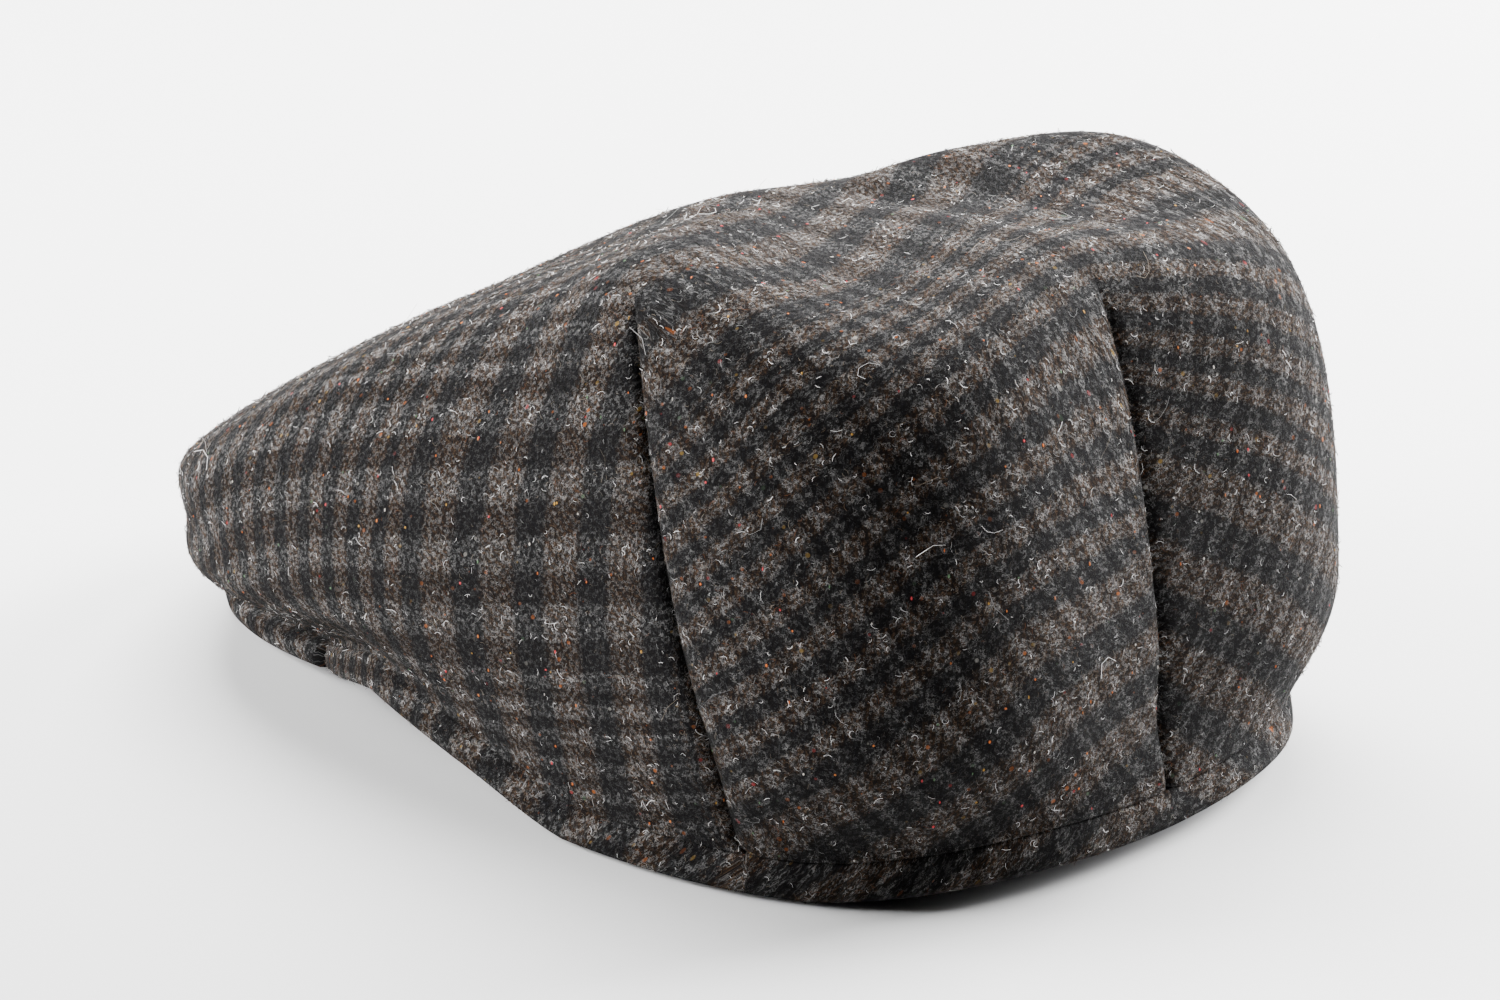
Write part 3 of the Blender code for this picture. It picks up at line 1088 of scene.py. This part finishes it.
def make_tweed(name):
    material, tree, shader = new_material(name, CLOTH_FINISH)
    layer = add_node(tree, "ShaderNodeUVMap", uv_map="cloth")
    flat = in_millimetres(tree, layer.outputs[0])
    wandering = ragged(tree, ragged(tree, flat, *UNEVEN_PRESSING), *UNEVEN_YARN)
    woven, grey, brown, warp_on_top = weave(tree, wandering)
    both = calc(tree, "MULTIPLY", grey, brown)
    mottle = noise(tree, flat, TUFTS.scale, detail=5.0, roughness=0.85).outputs["Fac"]
    shade = grey_colour(tree, mottled(tree, flat, mottle, both))
    woven = mix_colour(tree, 1.0, woven, shade, blend_type="MULTIPLY")
    light = calc(tree, "MULTIPLY_ADD", calc(tree, "ADD", grey, brown), VEIL_ON_LIGHT, VEIL_EVERYWHERE)
    light = calc(tree, "MULTIPLY_ADD", both, VEIL_ON_BOTH, light)
    hairs = [hair_lines(tree, flat, kind) for kind in (BROAD_HAIRS, FINE_HAIRS)]
    hairs = calc(tree, "MAXIMUM", *hairs)
    patchy = calc(tree, "GREATER_THAN", noise(tree, flat, 0.8).outputs["Fac"], 0.50)
    veil = calc(tree, "MULTIPLY", calc(tree, "MULTIPLY", hairs, patchy), light)
    woven = mix_colour(tree, veil, woven, HAIR)
    here, dye = fleck(tree, flat)
    woven = mix_colour(tree, calc(tree, "MULTIPLY", here, light), woven, dye)
    feed(tree, woven, shader.inputs["Base Color"])
    feed(tree, felted_relief(tree, mottle, warp_on_top, hairs), shader.inputs["Normal"])
    return material


tweed = make_tweed("tweed")
print("tweed", len(tweed.node_tree.nodes), "nodes")

# %% [markdown]
# ## Stray wool
# What makes wool look like wool is its nap: short curled fibres that stand a little off the cloth, thick on
# the light stripes and thin on the dark ones. Geometry Nodes scatter points on the cloth, keep more of them
# where the chart is light, and set one of a few bent threads on each. A fixed seed keeps them in place.

# %% The fibre tree
FIBRE_BENDS = ((50, 3), (85, 4), (130, 4), (200, 5))
FIBRE_SIDES = 3
FIBRE_RISE = 0.20
NAP_SHARES = ("Everywhere", "On Grey", "On Brown", "On Both")
NAP_TILT = 0.30
FIBRE_SCALES = (0.45, 1.35)
TONE_SEED_STEP = 7


def bent_fibres(tree, length, thickness):
    """A few curled threads lying on the plane and rising at one end, to be picked from."""
    picks = add_node(tree, "GeometryNodeGeometryToInstance")
    for degrees, points in FIBRE_BENDS:
        sweep = math.radians(degrees)
        arc = add_node(tree, "GeometryNodeCurveArc")
        arc.inputs["Resolution"].default_value = points
        arc.inputs["Start Angle"].default_value = -sweep / 2
        arc.inputs["Sweep Angle"].default_value = sweep
        feed(tree, calc(tree, "DIVIDE", length, sweep), arc.inputs["Radius"])
        along = add_node(tree, "GeometryNodeSplineParameter").outputs["Factor"]
        rise = add_node(tree, "ShaderNodeCombineXYZ")
        feed(tree, calc(tree, "DIVIDE", length, -sweep), rise.inputs["X"])
        steep = calc(tree, "MULTIPLY", length, FIBRE_RISE)
        feed(tree, calc(tree, "MULTIPLY", calc(tree, "MULTIPLY", along, along), steep), rise.inputs["Z"])
        lifted = add_node(tree, "GeometryNodeSetPosition")
        feed(tree, arc.outputs["Curve"], lifted.inputs["Geometry"])
        feed(tree, rise.outputs[0], lifted.inputs["Offset"])
        rim = add_node(tree, "GeometryNodeCurvePrimitiveCircle")
        rim.inputs["Resolution"].default_value = FIBRE_SIDES
        feed(tree, thickness, rim.inputs["Radius"])
        tube = add_node(tree, "GeometryNodeCurveToMesh")
        feed(tree, lifted.outputs[0], tube.inputs["Curve"])
        feed(tree, rim.outputs[0], tube.inputs["Profile Curve"])
        tube.inputs["Fill Caps"].default_value = True
        tree.links.new(tube.outputs[0], picks.inputs[0])
    return picks.outputs[0]


def random_value(tree, low, high, seed, kind="FLOAT"):
    node = add_node(tree, "FunctionNodeRandomValue", data_type=kind)
    for name, value in (("Min", low), ("Max", high)):
        socket = next(socket for socket in node.inputs if socket.name == name and socket.enabled)
        socket.default_value = value
    feed(tree, seed, node.inputs["Seed"])
    return next(socket for socket in node.outputs if socket.enabled)


def read_attribute(tree, name, kind):
    node = add_node(tree, "GeometryNodeInputNamedAttribute", data_type=kind)
    node.inputs["Name"].default_value = name
    return node.outputs["Attribute"]


def open_tree(name, floats, whole=("Seed",)):
    """An empty geometry tree with named inputs."""
    tree = bpy.data.node_groups.new(name, "GeometryNodeTree")
    sockets = [("Geometry", "NodeSocketGeometry")] + [(label, "NodeSocketFloat") for label in floats]
    sockets += [(label, "NodeSocketInt") for label in whole] + [("Material", "NodeSocketMaterial")]
    for label, kind in sockets:
        tree.interface.new_socket(label, in_out="INPUT", socket_type=kind)
    tree.interface.new_socket("Geometry", in_out="OUTPUT", socket_type="NodeSocketGeometry")
    return tree, add_node(tree, "NodeGroupInput").outputs, add_node(tree, "NodeGroupOutput").inputs


def check_at_point(tree):
    """The two stripes' lightness where a scattered point lies on the cloth."""
    parts = add_node(tree, "ShaderNodeSeparateXYZ")
    feed(tree, in_millimetres(tree, read_attribute(tree, "cloth", "FLOAT_VECTOR")), parts.inputs[0])
    back = read_attribute(tree, "back_panel", "FLOAT")
    grey = lengthwise_light(tree, parts.outputs["X"], parts.outputs["Y"], back)
    return grey, crosswise_light(tree, parts.outputs["Y"])


def scatter_points(tree, start):
    scatter = add_node(tree, "GeometryNodeDistributePointsOnFaces")
    for source, socket in (("Geometry", "Mesh"), ("Density", "Density"), ("Seed", "Seed")):
        feed(tree, start[source], scatter.inputs[socket])
    return scatter.outputs["Points"], scatter.outputs["Rotation"]


def place_on(tree, points, instance, rotation, size):
    node = add_node(tree, "GeometryNodeInstanceOnPoints")
    sources = {"Points": points, "Instance": instance, "Rotation": rotation, "Scale": size}
    for name, source in sources.items():
        feed(tree, source, node.inputs[name])
    return node


def close_tree(tree, geometry, start, end):
    """Give each copy its own tone, make real meshes of the copies, and set their material."""
    tone = add_node(tree, "GeometryNodeStoreNamedAttribute", data_type="FLOAT", domain="INSTANCE")
    feed(tree, geometry, tone.inputs["Geometry"])
    tone.inputs["Name"].default_value = "tone"
    seed = calc(tree, "ADD", start["Seed"], TONE_SEED_STEP)
    feed(tree, random_value(tree, 0.0, 1.0, seed), tone.inputs["Value"])
    real = add_node(tree, "GeometryNodeRealizeInstances")
    feed(tree, tone.outputs[0], real.inputs[0])
    dyed = add_node(tree, "GeometryNodeSetMaterial")
    feed(tree, real.outputs[0], dyed.inputs["Geometry"])
    feed(tree, start["Material"], dyed.inputs["Material"])
    feed(tree, dyed.outputs[0], end[0])


def nap_chance(tree, start):
    """The share of fibres kept at a point: some everywhere, and more on each kind of light stripe."""
    grey, brown = check_at_point(tree)
    chance = calc(tree, "MULTIPLY_ADD", grey, start["On Grey"], start["Everywhere"])
    chance = calc(tree, "MULTIPLY_ADD", brown, start["On Brown"], chance)
    return calc(tree, "MULTIPLY_ADD", calc(tree, "MULTIPLY", grey, brown), start["On Both"], chance)


def make_fibre_tree():
    tree, start, end = open_tree("fibres", ("Density", "Length", "Thickness", *NAP_SHARES))
    points, upright = scatter_points(tree, start)
    thinned = add_node(tree, "GeometryNodeDeleteGeometry")
    feed(tree, points, thinned.inputs["Geometry"])
    drawn = random_value(tree, 0.0, 1.0, start["Seed"])
    feed(tree, calc(tree, "GREATER_THAN", drawn, nap_chance(tree, start)), thinned.inputs["Selection"])
    turn = add_node(tree, "FunctionNodeEulerToRotation")
    lowest, highest = (-NAP_TILT, -NAP_TILT, 0.0), (NAP_TILT, NAP_TILT, math.tau)
    feed(tree, random_value(tree, lowest, highest, start["Seed"], "FLOAT_VECTOR"), turn.inputs[0])
    rotation = add_node(tree, "FunctionNodeRotateRotation", rotation_space="LOCAL")
    feed(tree, upright, rotation.inputs[0])
    feed(tree, turn.outputs[0], rotation.inputs[1])
    fibres = bent_fibres(tree, start["Length"], start["Thickness"])
    size = random_value(tree, *FIBRE_SCALES, start["Seed"])
    copies = place_on(tree, thinned.outputs[0], fibres, rotation.outputs[0], size)
    copies.inputs["Pick Instance"].default_value = True
    pick = random_value(tree, 0, len(FIBRE_BENDS) - 1, start["Seed"], "INT")
    feed(tree, pick, copies.inputs["Instance Index"])
    close_tree(tree, copies.outputs[0], start, end)
    return tree


def run_tree(tree, base, name, values):
    """The tree's result on a mesh, as a plain object."""
    piece = make_object(name, base)
    nodes = piece.modifiers.new(name, "NODES")
    nodes.node_group = tree
    for item in tree.interface.items_tree:
        if item.in_out == "INPUT" and item.name in values:
            nodes[item.identifier] = values[item.name]
    apply_modifiers(piece)
    piece.data.name = name
    return piece


fibre_tree = make_fibre_tree()
print("fibre tree", len(fibre_tree.nodes), "nodes")

# %% Fibre colours
def make_wool(name, colours):
    """Wool in a few natural shades, one to a fibre."""
    material, tree, shader = new_material(name, WOOL_FINISH)
    tone = add_node(tree, "ShaderNodeAttribute", attribute_name="tone")
    steps = [(i / len(colours), colour) for i, colour in enumerate(colours)]
    feed(tree, colour_steps(tree, tone.outputs["Fac"], steps), shader.inputs["Base Color"])
    return material


pale_wool = make_wool("pale_wool", (
    (0.28, 0.278, 0.277), (0.060, 0.060, 0.062), (0.80, 0.79, 0.785), (0.035, 0.034, 0.034),
    (0.16, 0.132, 0.102),
))
brown_wool = make_wool("brown_wool", (
    (0.060, 0.036, 0.018), (0.033, 0.022, 0.014), (0.085, 0.058, 0.037), (0.085, 0.027, 0.008),
    (0.019, 0.013, 0.009), (0.100, 0.082, 0.062),
))
dark_wool = make_wool("dark_wool", ((0.002, 0.002, 0.0025), (0.007, 0.006, 0.005), (0.004, 0.0035, 0.003)))
print("wool in three mixes")

# %% Grow the nap
# Densities are in fibres to the square metre, lengths and radii in metres.
Nap = namedtuple("Nap", "name seed density length thickness everywhere on_grey on_brown on_both material")
CROWN_NAPS = (
    Nap("nap_pale_long", 11, 360e3, 0.0028, 0.000042, 0.055, 0.13, 0.08, 0.20, pale_wool),
    Nap("nap_pale_short", 23, 460e3, 0.0018, 0.000050, 0.055, 0.12, 0.08, 0.20, pale_wool),
    Nap("nap_brown", 37, 380e3, 0.0022, 0.000050, 0.07, 0.05, 0.30, 0.00, brown_wool),
    Nap("nap_dark", 53, 190e3, 0.0024, 0.000075, 0.22, 0.28, 0.28, 0.00, dark_wool),
)


def grow_nap(nap, base):
    values = {name.replace("_", " ").title(): value for name, value in nap._asdict().items()}
    return run_tree(fibre_tree, base, nap.name, values)


def triangles(piece):
    return sum(len(polygon.vertices) - 2 for polygon in piece.data.polygons)


naps = [grow_nap(nap, crown_face) for nap in CROWN_NAPS]
for nap in naps:
    print(nap.name, triangles(nap), "triangles")

# %% Nap of the hem and the peak
HEM_NAP = Nap("nap_hem", 71, 620e3, 0.0021, 0.000046, 0.06, 0.16, 0.09, 0.24, pale_wool)
HEM_NAP_BROWN = Nap("nap_hem_brown", 73, 460e3, 0.0021, 0.000050, 0.05, 0.05, 0.40, 0.00, brown_wool)
PEAK_NAP = Nap("nap_peak", 79, 240e3, 0.0021, 0.000046, 0.06, 0.16, 0.09, 0.24, pale_wool)
STRAYS = Nap("stray_hairs", 97, 2.4e3, 0.0065, 0.000024, 0.70, 0.30, 0.30, 0.00, pale_wool)
hem_naps = [grow_nap(nap, hem.data.copy()) for nap in (HEM_NAP, HEM_NAP_BROWN)]
peak_nap = grow_nap(PEAK_NAP, peak.data.copy())
strays = grow_nap(STRAYS, crown_face)
for nap in (*hem_naps, peak_nap, strays):
    print(nap.name, triangles(nap), "triangles")

# %% [markdown]
# ## Knops
# Tweed is often flecked with knops, tiny balls of dyed wool carded in with the rest. The material already
# paints the flat ones. The few that stand up are small faceted balls, set on the cloth by a second tree.

# %% Knops
KNOP_DYES = (
    (0.30, 0.070, 0.012), (0.34, 0.030, 0.035), (0.22, 0.120, 0.022), (0.30, 0.090, 0.020),
    (0.34, 0.320, 0.290), (0.060, 0.110, 0.055),
)


KNOP_SCALES = ((0.5, 0.8, 0.35), (1.1, 1.7, 0.7))
KNOP_FACES = 20


def make_knop_tree():
    tree, start, end = open_tree("knops", ("Density", "Radius"))
    points, upright = scatter_points(tree, start)
    ball = add_node(tree, "GeometryNodeMeshIcoSphere")
    feed(tree, start["Radius"], ball.inputs["Radius"])
    size = random_value(tree, *KNOP_SCALES, start["Seed"], "FLOAT_VECTOR")
    copies = place_on(tree, points, ball.outputs["Mesh"], upright, size)
    close_tree(tree, copies.outputs[0], start, end)
    return tree


knop_wool = make_wool("knop_wool", KNOP_DYES)
knop_values = {"Density": 6.5e3, "Radius": 0.00026, "Seed": 5, "Material": knop_wool}
knops = run_tree(make_knop_tree(), crown_face, "knops", knop_values)
print("knops", len(knops.data.polygons) // KNOP_FACES)

# %% Dress the pieces
def dress(piece, material, node=None):
    if material:
        piece.data.materials.clear()
        piece.data.materials.append(material)
    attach(piece, "root")
    if node:
        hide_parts(node)


dress(crown, tweed, "crown")
dress(hem, tweed, "hem_band")
dress(peak, tweed, "peak")
on_crown = (*naps, strays, knops)
for nap in on_crown:
    dress(nap, None)
for nap in hem_naps:
    dress(nap, None)
dress(peak_nap, None)
print("dressed 3 surfaces and", len(on_crown) + len(hem_naps) + 1, "kinds of wool on them")
